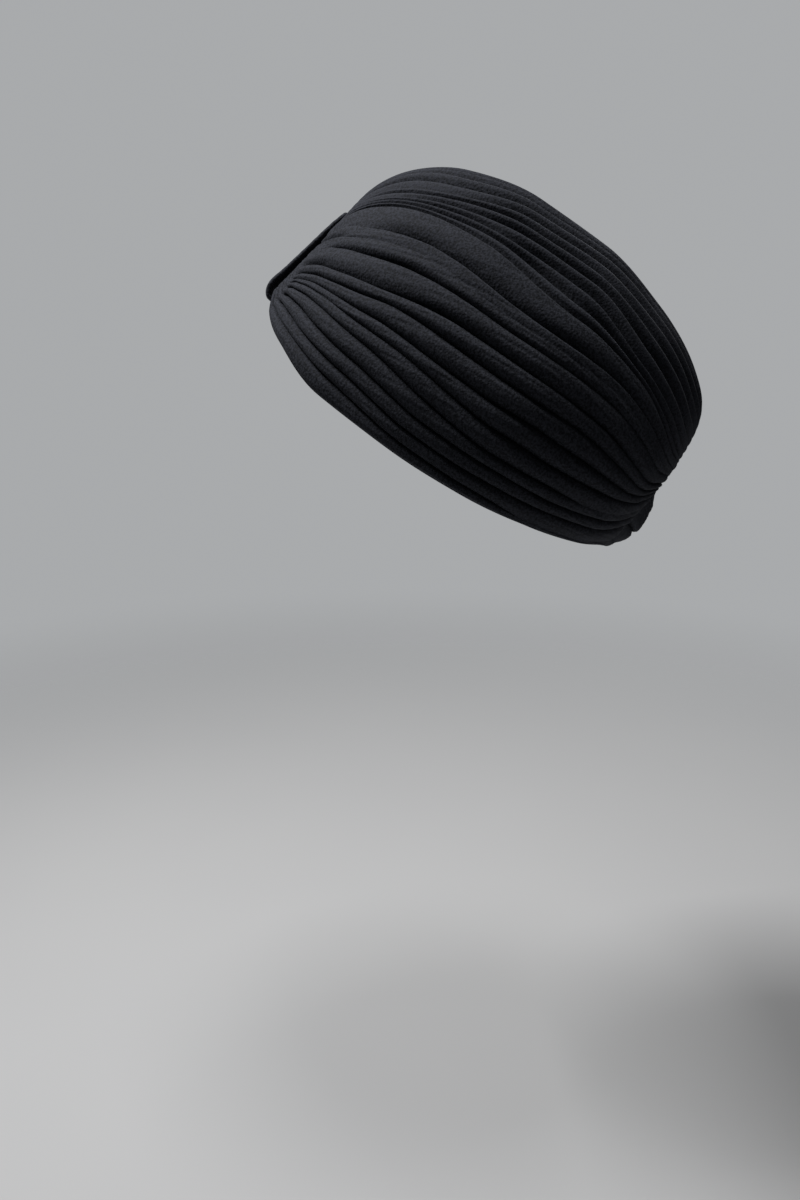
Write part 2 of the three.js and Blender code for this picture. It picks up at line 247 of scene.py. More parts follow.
def smoothstep(low: float, high: float, x: Array) -> Array:
    """Rise smoothly from 0 at low to 1 at high."""
    t = np.clip((x - low) / (high - low), 0, 1)
    return t * t * (3 - 2 * t)


def eased_rows(count: int, ease: float) -> Array:
    """Space rows from 0 to 1 so that they crowd towards both ends.

    Args:
        count: how many rows.
        ease: how strongly they crowd, from 0 for even rows up to 1.

    Returns:
        The rows' places.
    """
    r = np.linspace(0, 1, count)
    return r - np.sin(2 * np.pi * r) * ease / (2 * np.pi)


def rib_place(k: int) -> float:
    """Return where column k of a rib lies across it, with the columns crowding towards its valleys."""
    return 0.5 - 0.5 * math.cos(math.pi * k / RIB_COLUMNS)


def signed_power(x: Array, power: float) -> Array:
    """Raise the size of x to a power and keep its sign."""
    return np.sign(x) * np.abs(x) ** power


class Wander:
    """A smooth seeded wander about 0, for the small irregularities of cloth laid by hand."""

    turn_spread = 0.3
    least_size = 0.5
    gain = 1.6

    def __init__(self, seed: int, waves: int, first: float) -> None:
        """Draw the waves' turns, phases and sizes.

        Args:
            seed: the seed that they are drawn from.
            waves: how many waves add up.
            first: how often the slowest of them turns from 0 to 1.
        """
        rng = np.random.default_rng(seed)
        order = np.arange(1, waves + 1)
        self.turns = first * order + rng.uniform(-self.turn_spread, self.turn_spread, waves)
        self.phases = rng.uniform(0, 2 * np.pi, waves)
        self.sizes = rng.uniform(self.least_size, 1.0, waves) / np.sqrt(order)

    def at(self, s: Array) -> Array:
        """Return the wander at s, mostly within -1 to 1."""
        angle = 2 * np.pi * np.multiply.outer(s, self.turns) + self.phases
        return (np.sin(angle) * self.sizes).sum(axis=-1) / self.sizes.sum() * self.gain


@dataclass(frozen=True)
class CapForm:
    """The smooth outer form of the cap that the ridge tops of all the pleats lie on."""

    brow_y: float = -84 * MM
    brow_z: float = 64 * MM
    slope: float = math.radians(34)
    widest_at: float = 0.32
    seam_swell: float = 8 * MM
    seam_swell_from: float = 0.972
    step: float = 1e-3

    def column(self, name: str, s: Array) -> Array:
        """Read one column of the section table at s, in metres."""
        xs = np.array([row.s for row in SECTIONS])
        return smooth_column(xs, np.array([getattr(row, name) for row in SECTIONS]), s) * MM

    def from_opening(self, x: Array, u: Array, w: Array) -> Array:
        """Turn places along and up the sloping opening into places in the frame.

        Args:
            x: how far towards the wearer's left.
            u: how far along the opening from the brow.
            w: how far up from it.

        Returns:
            The places, with X, Y and Z on the last axis.
        """
        y = self.brow_y + u * math.cos(self.slope) + w * math.sin(self.slope)
        z = self.brow_z - u * math.sin(self.slope) + w * math.cos(self.slope)
        return np.stack(np.broadcast_arrays(x, y, z), axis=-1)

    def point(self, s: Array, a: Array) -> Array:
        """Find points of the form.

        Args:
            s: how far along the cap, from 0 at the brow to 1 at the nape.
            a: how far across it, from 0 at the left hem to 1 on the middle line and on down the right.

        Returns:
            The points, with X, Y and Z on the last axis.
        """
        side_x = self.column("side_x", s)
        tuck = np.arccos(np.minimum(self.column("hem_x", s) / side_x, 1))
        angle = -tuck + a * (np.pi / 2 + tuck)
        below = self.widest_at * (1 + np.sin(angle) / np.maximum(np.sin(tuck), TINY))
        above = self.widest_at + (1 - self.widest_at) * np.sin(angle)
        height = np.where(angle > 0, above, below)
        swell = self.seam_swell * smoothstep(self.seam_swell_from, 1, s) * np.sin(np.pi * height)
        hem_u, hem_w = self.column("hem_u", s), self.column("hem_w", s)
        u = hem_u + (self.column("crown_u", s) - hem_u) * height + swell
        w = hem_w + (self.column("crown_w", s) - hem_w) * height
        return self.from_opening(side_x * np.cos(angle), u, w)

    def sunk(self, s: Array, a: Array, sinks: Array) -> Array:
        """Return points that lie below the form by their sinks."""
        return self.point(s, a) - self.normal(s, a) * sinks[..., None]

    def middle(self, place: Pair) -> Array:
        """Return the point of the middle plane that lies so far along and up the opening."""
        return self.from_opening(np.zeros(1), *(np.array([v]) for v in place))[0]

    def across(self, s: Array, a: Array) -> Array:
        """Return the step across the form for a whole share, as a vector in metres."""
        return (self.point(s, a + self.step) - self.point(s, a - self.step)) / (2 * self.step)

    def metric(self, s: Array, a: Array) -> Array:
        """Return how many metres across the form one whole share is."""
        return np.linalg.norm(self.across(s, a), axis=-1)

    def normal(self, s: Array, a: Array) -> Array:
        """Find the outward normals of the form.

        Args:
            s: how far along the cap.
            a: how far across it.

        Returns:
            The unit normals, with X, Y and Z on the last axis.
        """
        back, ahead = np.maximum(s - self.step, 0), np.minimum(s + self.step, 1)
        out = np.cross(self.point(ahead, a) - self.point(back, a), self.across(s, a))
        return out / np.linalg.norm(out, axis=-1, keepdims=True)


@dataclass
class Lay:
    """Columns of cloth across a run of pleats, each an array over the rows along the cap."""

    shares: list[Array] = field(default_factory=list)
    sinks: list[Array] = field(default_factory=list)
    crests: list[Array] = field(default_factory=list)

    def add(self, share: Array, sink: Array, crest: Array | float) -> None:
        """Add one column.

        Args:
            share: where it lies across.
            sink: how far it sinks below the form, in metres.
            crest: how proud it stands, from 0 in a valley to 1 on a ridge.
        """
        self.shares.append(share)
        self.sinks.append(np.broadcast_to(sink, share.shape))
        self.crests.append(np.broadcast_to(crest, share.shape))

    def then(self, other: "Lay") -> "Lay":
        """Return these columns followed by another lay's."""
        return Lay(self.shares + other.shares, self.sinks + other.sinks, self.crests + other.crests)

    def grids(self) -> tuple[Array, ...]:
        """Return the shares, the sinks and the crests as grids, by row along and column across."""
        return tuple(np.stack(columns, axis=1) for columns in (self.shares, self.sinks, self.crests))


# Waves of the small wander of a valley's course and of its depth, and the turns of the slowest one
COURSE_WAVES = 5
COURSE_TURNS = 1.5
DEPTH_WAVES = 4
DEPTH_TURNS = 1.2


@dataclass(frozen=True)
class PleatRun:
    """A run of pleats side by side, laid between its valleys."""

    valleys: tuple[Valley, ...]
    style: PleatStyle
    depth: float
    seed: int
    lip: float = 2.8 * MM
    foot: float = 15 * MM
    foot_share: float = 0.52
    lip_share: float = 0.27
    bulge_share: float = 0.06
    wander_share: float = 0.0015
    depth_wander: float = 0.22
    deepest_share: float = DEEPEST_PLEAT_SHARE
    root_boost: float = 0.0
    root_from: float = 0.05
    root_to: float = 0.16
    wander_from: float = 0.1
    wander_to: float = 0.9

    def courses(self, s: Array) -> Array:
        """Find each valley's course, with its own small wander.

        Args:
            s: the rows along the cap.

        Returns:
            The shares across, one column a valley. The first one is the run's edge and doesn't wander.
        """
        ease = smoothstep(0, self.wander_from, s) * (1 - smoothstep(self.wander_to, 1, s))
        courses = [self.valleys[0].course(s)]
        for i, valley in enumerate(self.valleys[1:], start=1):
            wander = Wander(self.seed + i, COURSE_WAVES, COURSE_TURNS).at(s)
            courses.append(valley.course(s) + self.wander_share * ease * wander)
        return np.stack(courses, axis=1)

    def depths(self, s: Array, widths: Array) -> Array:
        """Return how deep each valley is at s.

        Args:
            s: the rows along the cap.
            widths: the pleats' widths, one column a pleat.

        Returns:
            The depths in metres, one column a valley.
        """
        depths = []
        root = 1 + self.root_boost * (1 - smoothstep(self.root_from, self.root_to, s))
        for i, valley in enumerate(self.valleys):
            wander = Wander(self.seed + DEPTH_SEED_STEP + i, DEPTH_WAVES, DEPTH_TURNS).at(s)
            wanted = self.depth * valley.depth * (1 + self.depth_wander * wander)
            narrower = widths[:, max(i - 1, 0): i + 1].min(axis=1)
            limit = self.deepest_share * narrower * root
            depths.append(np.minimum(wanted, limit) * valley.fade(s))
        return np.stack(depths, axis=1)

    def lay(self, form: CapForm, s: Array) -> Lay:
        """Lay the run's cloth over the form.

        Args:
            form: the form that the ridge tops lie on.
            s: the rows along the cap.

        Returns:
            The columns from the first valley up to, and without, the last one.
        """
        courses = self.courses(s)
        middles = (courses[:, 1:] + courses[:, :-1]) / 2
        metric = form.metric(s[:, None] + 0 * middles, middles)
        widths = (courses[:, 1:] - courses[:, :-1]) * metric
        depths = self.depths(s, widths)
        fill = self.lapped if self.style is PleatStyle.LAPPED else self.ribbed
        lay = Lay()
        for i in range(widths.shape[1]):
            for reach, sink, crest in fill(widths[:, i], depths[:, i], depths[:, i + 1]):
                lay.add(courses[:, i] + reach / metric[:, i], sink, crest)
        return lay

    def lapped(self, width: Array, low: Array, high: Array) -> PleatColumns:
        """Fold one pleat that laps over the next: foot, body and overhanging lip.

        Args:
            width: the pleat's width at each row.
            low: the depth of the valley at its foot.
            high: the depth of the valley past its lip.

        Returns:
            For each column its reach from the foot's valley, its sink and its crest.
        """
        foot = np.minimum(self.foot, self.foot_share * width)
        lip = np.minimum(self.lip, self.lip_share * width)
        lean = smoothstep(0, 1, high / np.maximum(lip, TINY))
        columns = []
        for point in FOOT:
            sink = low * (1 - point.height)
            columns.append((foot * point.reach, sink, 1 - sink / self.depth))
        for k in range(1, BODY_COLUMNS + 1):
            columns.append((foot + (width - foot - lip) * k / (BODY_COLUMNS + 1), 0 * width, 1.0))
        for k, point in enumerate(LIP):
            flat = 1 - k / len(LIP)
            back = lean * point.reach + (1 - lean) * flat
            sink = high * point.height
            columns.append((width - lip * back, sink, 1 - sink / self.depth))
        swollen = []
        for reach, sink, crest in columns:
            swollen.append((reach, sink - self.bulge(reach / width) * width, crest))
        return swollen

    def bulge(self, share: Array) -> Array:
        """Return how far a pleat's face swells out, as a share of its width, at a share across it."""
        inside = np.clip(share, 0, 1)
        return 4 * self.bulge_share * inside * (1 - inside)

    def ribbed(self, width: Array, low: Array, high: Array) -> PleatColumns:
        """Raise one pleat as an even rib with narrow valleys.

        Args:
            width: the pleat's width at each row.
            low: the depth of the valley before it.
            high: the depth of the valley after it.

        Returns:
            For each column its reach from the valley before it, its sink and its crest.
        """
        lean = math.log(0.5) / math.log(RIB_CREST)
        columns = []
        for k in range(RIB_COLUMNS):
            t = rib_place(k)
            fall = abs(1 - 2 * t ** lean) ** RIB_POWER
            sink = (low if t < RIB_CREST else high) * fall
            columns.append((width * t, sink, 1 - sink / self.depth))
        return columns


def feed(tree: NodeTree, socket: NodeSocket, value: object) -> None:
    """Give an input its value.

    Args:
        tree: the node tree.
        socket: the input.
        value: a number or a colour of its own, or the output that it is linked to.
    """
    if isinstance(value, NodeSocket):
        tree.links.new(value, socket)
    else:
        socket.default_value = value


def shader_node(tree: NodeTree, kind: str, *feeds: object, **values: object) -> Node:
    """Add a node, set its properties and feed its inputs.

    Args:
        tree: the node tree.
        kind: the node's type, without ShaderNode before it.
        feeds: what the first inputs get, in their order.
        values: a property by its name, or what an input gets by its name with _ for a space.

    Returns:
        The node.
    """
    node = tree.nodes.new("ShaderNode" + kind)
    for name, value in values.items():
        if hasattr(node, name):
            setattr(node, name, value)
        else:
            feed(tree, node.inputs[name.replace("_", " ")], value)
    for socket, value in zip(node.inputs, feeds):
        feed(tree, socket, value)
    return node


def math_node(tree: NodeTree, operation: str, *feeds: object) -> NodeSocket:
    """Add a math node with these inputs and return its result."""
    return shader_node(tree, "Math", *feeds, operation=operation).outputs[0]


def mix_colours(tree: NodeTree, factor: NodeSocket, first: object, second: object) -> NodeSocket:
    """Mix two colours.

    Args:
        tree: the node tree.
        factor: the output that says how much of the second colour there is.
        first: the first colour with its alpha, or the output that it comes from.
        second: the second one.

    Returns:
        The output of the mixed colour.
    """
    mix = shader_node(tree, "Mix", data_type="RGBA")
    inputs = {socket.identifier: socket for socket in mix.inputs}
    feed(tree, inputs["Factor_Float"], factor)
    feed(tree, inputs["A_Color"], first)
    feed(tree, inputs["B_Color"], second)
    return {socket.identifier: socket for socket in mix.outputs}["Result_Color"]


@dataclass(frozen=True)
class CrepeGrain:
    """The pebbled grain of crepe jersey, as a node group that every cloth shares.

    speckle_span is the step in the noise from a dark pebble to a light one. Of the cells of the lint,
    those above lint_rare hold a speck, with lint_radius in cell widths.
    """

    name: str = "crepe_grain"
    pebble_detail: float = 3.0
    pebble_roughness: float = 0.64
    thread_smoothness: float = 0.6
    speckle_span: Pair = (0.41, 0.6)
    cloud_scale: float = 38.0
    cloud_detail: float = 3.0
    cloud_roughness: float = 0.6
    lint_scale: float = 150.0
    lint_radius: float = 0.04
    lint_rare: float = 0.965

    def group(self) -> NodeTree:
        """Build the group once.

        Returns:
            The group, with a fine height, a speckle, broad clouds and sparse lint.
        """
        made = bpy.data.node_groups.get(self.name)
        if made:
            return made
        tree = bpy.data.node_groups.new(self.name, "ShaderNodeTree")
        tree.interface.new_socket("Vector", in_out="INPUT", socket_type="NodeSocketVector")
        tree.interface.new_socket("Grain Scale", in_out="INPUT", socket_type="NodeSocketFloat")
        for output in ("Height", "Speckle", "Clouds", "Lint"):
            tree.interface.new_socket(output, in_out="OUTPUT", socket_type="NodeSocketFloat")
        inputs = tree.nodes.new("NodeGroupInput").outputs
        outputs = tree.nodes.new("NodeGroupOutput").inputs
        place, fine = inputs["Vector"], inputs["Grain Scale"]
        pebble = shader_node(tree, "TexNoise", Vector=place, Scale=fine)
        feed(tree, pebble.inputs["Detail"], self.pebble_detail)
        feed(tree, pebble.inputs["Roughness"], self.pebble_roughness)
        thread = shader_node(tree, "TexVoronoi", feature="SMOOTH_F1", Vector=place, Scale=fine)
        feed(tree, thread.inputs["Smoothness"], self.thread_smoothness)
        clouds = shader_node(tree, "TexNoise", Vector=place, Scale=self.cloud_scale)
        feed(tree, clouds.inputs["Detail"], self.cloud_detail)
        feed(tree, clouds.inputs["Roughness"], self.cloud_roughness)
        speckle = shader_node(tree, "MapRange", pebble.outputs["Fac"], *self.speckle_span)
        lint = shader_node(tree, "TexVoronoi", Vector=place, Scale=self.lint_scale)
        chosen = shader_node(tree, "SeparateColor", lint.outputs["Color"])
        near = math_node(tree, "LESS_THAN", lint.outputs["Distance"], self.lint_radius)
        rare = math_node(tree, "GREATER_THAN", chosen.outputs[0], self.lint_rare)
        height = math_node(tree, "ADD", pebble.outputs["Fac"], thread.outputs["Distance"])
        feed(tree, outputs["Height"], height)
        feed(tree, outputs["Speckle"], speckle.outputs["Result"])
        feed(tree, outputs["Clouds"], clouds.outputs["Fac"])
        feed(tree, outputs["Lint"], math_node(tree, "MULTIPLY", near, rare))
        return tree


@dataclass(frozen=True)
class CrepeFinish:
    """Charcoal crepe jersey: its colour is darker in the valleys, which is painted shade, and a little
    greyer on the pleats' crests, with a soft bloom.
    """

    name: str
    # The darker tone is that of the grain's dark pebbles and of the painted shade in the valleys
    deep: Triple = (0.0022, 0.0023, 0.0027)
    # The lighter tone is that of the grain's light pebbles and of the painted light on the pleats' crests
    pale_grain_and_painted_crest_light: Triple = (0.0314, 0.0334, 0.0418)
    lint: Triple = (0.09, 0.09, 0.095)
    roughness: Pair = (0.78, 0.95)
    grain_scale: float = 960.0
    speckle_weight: float = 0.84
    # How much the crest attribute lightens the crests against the valleys: painted shade
    painted_shade_weight: float = 0.24
    cloud_weight: float = 0.1
    bump: float = 0.8
    bump_distance: float = 0.2 * MM
    sheen: float = 0.03
    sheen_roughness: float = 0.5
    sheen_tint: Triple = (0.62, 0.66, 0.75)
    specular: float = 0.1

    def material(self) -> Material:
        """Build the cloth's material.

        Returns:
            The material, reading Object coordinates and the piece's crest attribute.
        """
        material = bpy.data.materials.new(self.name)
        material.use_nodes = True
        tree = material.node_tree
        place = shader_node(tree, "TexCoord")
        group = shader_node(tree, "Group", node_tree=CrepeGrain().group())
        feed(tree, group.inputs["Vector"], place.outputs["Object"])
        feed(tree, group.inputs["Grain Scale"], self.grain_scale)
        grain = group.outputs
        # The crest attribute paints shade: the cloth's colour darkens towards its valleys
        crest = shader_node(tree, "Attribute", attribute_name=CREST_ATTRIBUTE)
        painted_crest_light_and_valley_shade = math_node(tree, "MULTIPLY", crest.outputs["Fac"], self.painted_shade_weight)
        speckle_and_painted_shade = math_node(tree, "MULTIPLY_ADD", grain["Speckle"], self.speckle_weight, painted_crest_light_and_valley_shade)
        grain_and_painted_shade = math_node(tree, "MULTIPLY_ADD", grain["Clouds"], self.cloud_weight, speckle_and_painted_shade)
        grain_and_painted_shade.node.use_clamp = True
        cloth_tone_and_painted_shade = mix_colours(tree, grain_and_painted_shade, (*self.deep, 1), (*self.pale_grain_and_painted_crest_light, 1))
        linted_cloth_and_painted_shade = mix_colours(tree, grain["Lint"], cloth_tone_and_painted_shade, (*self.lint, 1))
        rough = shader_node(tree, "MapRange", grain["Speckle"], 0.0, 1.0, *self.roughness)
        bump = shader_node(tree, "Bump", self.bump, self.bump_distance, Height=grain["Height"])
        cloth = {
            "Base Color": linted_cloth_and_painted_shade,
            "Roughness": rough.outputs["Result"],
            "Normal": bump.outputs["Normal"],
            "Specular IOR Level": self.specular,
            "Sheen Weight": self.sheen,
            "Sheen Roughness": self.sheen_roughness,
            "Sheen Tint": (*self.sheen_tint, 1),
        }
        for name, value in cloth.items():
            feed(tree, tree.nodes["Principled BSDF"].inputs[name], value)
        return material


def place_object(name: str, data: bpy.types.ID) -> Object:
    """Put a new object in the scene.

    Args:
        name: its name.
        data: its mesh, light or camera.

    Returns:
        The object, at the origin.
    """
    made = bpy.data.objects.new(name, data)
    bpy.context.scene.collection.objects.link(made)
    return made


# Half the side of the flat grid that a piece is shaped from
GRID_HALF = 0.5


@dataclass
class ClothPiece:
    """A piece of cloth that stands for one CAD node."""

    node: str
    slot: str
    finish: CrepeFinish

    def from_grid(self, points: Array, crest: Array) -> Object:
        """Shape a grid into the piece.

        Args:
            points: where each grid point goes, by row along and column across.
            crest: how proud each grid point stands, from 0 in a valley to 1 on a ridge.

        Returns:
            The new object, with no thickness yet.
        """
        along, across = points.shape[:2]
        sheet = bmesh.new()
        bmesh.ops.create_grid(sheet, x_segments=along - 1, y_segments=across - 1, size=GRID_HALF)
        layer = sheet.verts.layers.float.new(CREST_ATTRIBUTE)
        for vertex in sheet.verts:
            i = round((vertex.co.x + GRID_HALF) * (along - 1))
            j = round((vertex.co.y + GRID_HALF) * (across - 1))
            vertex.co = points[i, j]
            vertex[layer] = crest[i, j]
        for face in sheet.faces:
            face.smooth = True
        name = self.node + "_cloth"
        mesh = bpy.data.meshes.new(name)
        sheet.to_mesh(mesh)
        sheet.free()
        return place_object(name, mesh)

    def thicken(self, made: Object) -> None:
        """Give the cloth its thickness, inwards from its right side.

        Args:
            made: the piece.
        """
        solid = made.modifiers.new("thickness", "SOLIDIFY")
        solid.thickness = CLOTH_THICK
        solid.offset = -1
        solid.use_quality_normals = True

    def dress(self, made: Object) -> None:
        """Give the piece its finish and put it in place of its CAD node.

        Args:
            made: the piece.
        """
        made.data.materials.append(self.finish.material())
        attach(made, "root")
        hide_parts(self.node)


# The hem's turn-up: shares of its length from the raw edge inside, and its crest, which is low: painted
# shade inside the hem
HEM_SHARES = (1.0, 0.65, 0.35, 0.12)
HEM_CREST = 0.2
# Round the hem's fold: degrees from its lowest line, inside first, and crests, lower on the inside:
# painted shade under the fold
HEM_FOLD = ((90, 0.6), (45, 0.6), (0, 0.6), (-45, 0.9))
# The free edge turned under: shares of its length, and sinks in millimetres
EDGE_FOLD = ((0.08, 1.7), (0.35, 2.0), (0.7, 2.05), (1.0, 2.1))
# The free edge turned under gets a low crest: painted shade beneath the last pleat
EDGE_CREST = 0.3
EDGE_WIDEST_SHARE = 0.5
# Turns of the fine ripples from the hem to the middle line, and how far they may slant
RIPPLE_TURNS = (23, 37, 58, 81)
RIPPLE_SLANT = 3


@dataclass
class SideWrap(ClothPiece):
    """One side of the wrap: a fan of lapped pleats from the brow band to the nape seam."""

    side: WearSide
    form: CapForm
    seed: int
    rows: int = 190
    row_ease: float = 0.5
    depth: float = 4.3 * MM
    root_boost: float = 0.6
    hem_turn: float = 9 * MM
    hem_roll: float = 1.1 * MM
    edge_turn: float = 8 * MM
    seam_draw: float = 0.34 * MM
    seam_draw_from: float = 0.97
    seam_room: float = 0.03 * MM
    seam_turn: float = 5 * MM
    seam_rows: int = 4
    # Share of the last row's crest kept on the seam allowance: painted shade under the seam
    seam_crest: float = 0.5
    ripple: float = 0.12 * MM
    flat: Pair = (0.122, 0.30)

    def build(self) -> Object:
        """Lay the pleats, turn the hem, the free edge and the seam under, and add the thickness.

        Returns:
            The wrap's shape.
        """
        s = eased_rows(self.rows, self.row_ease)
        run = PleatRun(SIDE_VALLEYS, PleatStyle.LAPPED, self.depth, self.seed, root_boost=self.root_boost)
        lay = run.lay(self.form, s)
        lay = self.hem_columns(s, lay.sinks[0]).then(lay).then(self.edge_columns(s, run))
        shares, sinks, crests = lay.grids()
        along = np.broadcast_to(s[:, None], shares.shape)
        points = self.form.sunk(along, shares, sinks + self.ripple * self.ripples(along, shares))
        drawn = self.seam_draw * smoothstep(self.seam_draw_from, 1, along)
        points[..., 0] = np.maximum(points[..., 0] - drawn, self.seam_room)
        points, crests = self.turn_seam(points, crests)
        if self.side is WearSide.RIGHT:
            points = (points * (self.side.value, 1, 1))[:, ::-1]
            crests = crests[:, ::-1]
        made = self.from_grid(points, crests)
        self.thicken(made)
        return made

    def ripples(self, s: Array, a: Array) -> Array:
        """Find the fine ripples that run along the pleats.

        Args:
            s: how far along the cap.
            a: how far across it.

        Returns:
            The ripples' heights, as shares of their full height.
        """
        rng = np.random.default_rng(self.seed + RIPPLE_SEED_STEP)
        total = np.zeros_like(a)
        for turns in RIPPLE_TURNS:
            slant = rng.uniform(-RIPPLE_SLANT, RIPPLE_SLANT)
            phase = rng.uniform(0, 2 * np.pi)
            total += np.sin(2 * np.pi * (turns * a + slant * s) + phase)
        return total / 2

    def hem_columns(self, s: Array, first: Array) -> Lay:
        """Turn the hem up inside.

        Args:
            s: the rows along the cap.
            first: the sinks of the pleats' first column.

        Returns:
            The columns from the raw edge inside down to the fold and round it.
        """
        metric = self.form.metric(s, 0 * s)
        hem = Lay()
        for share in HEM_SHARES:
            hem.add(self.hem_turn * share / metric, first + 2 * self.hem_roll, HEM_CREST)
        for angle, crest in HEM_FOLD:
            turn = math.radians(angle)
            reach = -self.hem_roll * math.cos(turn)
            hem.add(reach / metric, first + self.hem_roll * (1 + math.sin(turn)), crest)
        return hem

    def edge_columns(self, s: Array, run: PleatRun) -> Lay:
        """Turn the free upper edge under.

        Args:
            s: the rows along the cap.
            run: the wrap's pleats.

        Returns:
            The columns from the lip back beneath the last pleat.
        """
        courses = run.courses(s)
        last = courses[:, -1]
        metric = self.form.metric(s, last)
        width = (last - courses[:, -2]) * metric
        turn = np.minimum(self.edge_turn, EDGE_WIDEST_SHARE * width)
        edge = Lay()
        for share, sink in EDGE_FOLD:
            edge.add(last - turn * share / metric, np.full_like(s, sink * MM), EDGE_CREST)
        return edge

    def turn_seam(self, points: Array, crests: Array) -> tuple[Array, Array]:
        """Carry the last row inwards as the seam allowance, until it meets the other side's.

        Args:
            points: the grid so far.
            crests: its crests.

        Returns:
            Both with the rows of the allowance added.
        """
        inward = self.form.middle((0.0, 0.0)) - self.form.middle((1.0, 0.0))
        extra = []
        for k in range(1, self.seam_rows + 1):
            share = k / self.seam_rows
            extra.append(points[-1] * (1 - share, 1, 1) + inward * self.seam_turn * share)
        grown = np.concatenate([points, np.stack(extra)])
        # The allowance turned inwards gets half the crest of the last row: painted shade under the seam
        seam_crests_with_painted_shade = np.repeat(crests[-1:], self.seam_rows, axis=0) * self.seam_crest
        return grown, np.concatenate([crests, seam_crests_with_painted_shade])

    def dress(self, made: Object) -> None:
        """Finish the wrap."""
        super().dress(made)


# The crown's edge under the side wrap: shares of its lap from the raw edge
LAP_SHARES = (1.0, 0.6, 0.25, 0.0)
# Beside it a narrow shoulder rises to the first rib: places across it, and how full it is
SHOULDER_PLACES = (0.0, 0.25, 0.5, 0.75)
SHOULDER_POWER = 0.6


@dataclass
class CrownPanel(ClothPiece):
    """The panel over the top of the head: narrow ribs whose edges run under both side wraps."""

    form: CapForm
    seed: int
    rows: int = 180
    row_ease: float = 0.4
    depth: float = 4.2 * MM
    wander_share: float = 0.0036
    depth_wander: float = 0.34
    deepest_share: float = 0.66
    starts: float = 0.02
    ends: float = 0.987
    lap: float = 12 * MM
    lap_sink: float = 2.4 * MM
    edge_margin: float = 0.004
    front_tuck: float = 0.3 * MM
    front_tuck_span: Pair = (0.02, 0.07)
    seam_tuck: float = 1.4 * MM
    seam_tuck_span: Pair = (0.92, 0.972)
    gather_at: Pair = (210 * MM, 19 * MM)
    gather_pull: float = 0.76
    tail_end: Pair = (206.5 * MM, 1 * MM)
    tail_rows: int = 6
    flat: Pair = (0.195, 0.30)

    def build(self) -> Object:
        """Lay the ribs from one side wrap over the top to the other, and add the thickness.

        Returns:
            The panel's shape.
        """
        s = self.starts + (self.ends - self.starts) * eased_rows(self.rows, self.row_ease)
        ribs = self.ribs(self.seed)
        left = self.half(s, ribs).then(self.middle_rib(s, ribs)).grids()
        right = [grid[:, ::-1] for grid in self.half(s, self.ribs(self.seed + HALF_SEED_STEP)).grids()]
        right[0] = 2 - right[0]
        shares, sinks, crests = (np.concatenate(pair, axis=1) for pair in zip(left, right))
        along = np.broadcast_to(s[:, None], shares.shape)
        tuck = self.front_tuck * (1 - smoothstep(*self.front_tuck_span, s))
        tuck = tuck + self.seam_tuck * smoothstep(*self.seam_tuck_span, s)
        points = self.form.sunk(along, shares, sinks + tuck[:, None])
        tail = self.tail_rings(points[-1])
        points = np.concatenate([points, tail])
        crests = np.concatenate([crests, np.repeat(crests[-1:], len(tail), axis=0)])
        made = self.from_grid(points, crests)
        self.thicken(made)
        return made

    def tail_rings(self, last: Array) -> Array:
        """Gather the ribs at the nape, and tuck their end down behind the side wraps' seam.

        Args:
            last: the last row of ribs.

        Returns:
            The rows that follow it.
        """
        gather = self.form.middle(self.gather_at)
        end = self.form.middle(self.tail_end)
        steps = np.linspace(0, 1, self.tail_rows + 1)[1:, None, None]
        gathered = last + (gather - last) * self.gather_pull * steps
        return np.concatenate([gathered, gathered[-1] + (end - gather) * steps])

    def ribs(self, seed: int) -> PleatRun:
        """Return the ribs of one half, with irregularities from the seed."""
        return PleatRun(
            CROWN_VALLEYS,
            PleatStyle.RIB,
            self.depth,
            seed,
            wander_share=self.wander_share,
            depth_wander=self.depth_wander,
            deepest_share=self.deepest_share,
        )

    def half(self, s: Array, run: PleatRun) -> Lay:
        """Lay one half of the panel.

        Args:
            s: the rows along the cap.
            run: the half's ribs.

        Returns:
            The columns from the edge under the side wrap up to, and without, the last valley.
        """
        edge = SIDE_VALLEYS[-1].course(s)
        metric = self.form.metric(s, edge)
        lapped = Lay()
        # The lapped edge gets crest 0, painted shade under the side wrap, and the shoulder's crest rises
        # from 0 as it climbs to the first rib
        for share in LAP_SHARES:
            lapped.add(edge - self.lap * share / metric, np.full_like(s, self.lap_sink), 0.0)
        lay = run.lay(self.form, s)
        beside = edge + self.edge_margin
        for t in SHOULDER_PLACES:
            lift = math.sin(math.pi * t) ** SHOULDER_POWER
            lapped.add(beside + (lay.shares[0] - beside) * t, self.lap_sink * (1 - lift), lift)
        return lapped.then(lay)

    def middle_rib(self, s: Array, run: PleatRun) -> Lay:
        """Raise the rib on the middle line.

        Args:
            s: the rows along the cap.
            run: the left half's ribs.

        Returns:
            The columns from the last valley on the left to the one on the right.
        """
        last = run.courses(s)[:, -1]
        deep = np.minimum(self.depth, DEEPEST_PLEAT_SHARE * 2 * (1 - last) * self.form.metric(s, last))
        rib = Lay()
        for k in range(RIB_COLUMNS + 1):
            t = rib_place(k)
            fall = abs(1 - 2 * t) ** RIB_POWER
            rib.add(last + (2 - 2 * last) * t, deep * fall, 1 - fall)
        return rib

    def dress(self, made: Object) -> None:
        """Finish the panel."""
        super().dress(made)


# Path of the front band in the middle plane, from inside the hem to inside the crown:
# millimetres along and up the sloping head opening
BAND_PATH = (
    (8.4, 10),
    (8.2, 5.5),
    (6, 1.9),
    (2.2, 1.9),
    (-0.1, 6.4),
    (2.6, 16.5),
    (5.6, 27.5),
    (10.5, 45.5),
    (13.1, 52.8),
)


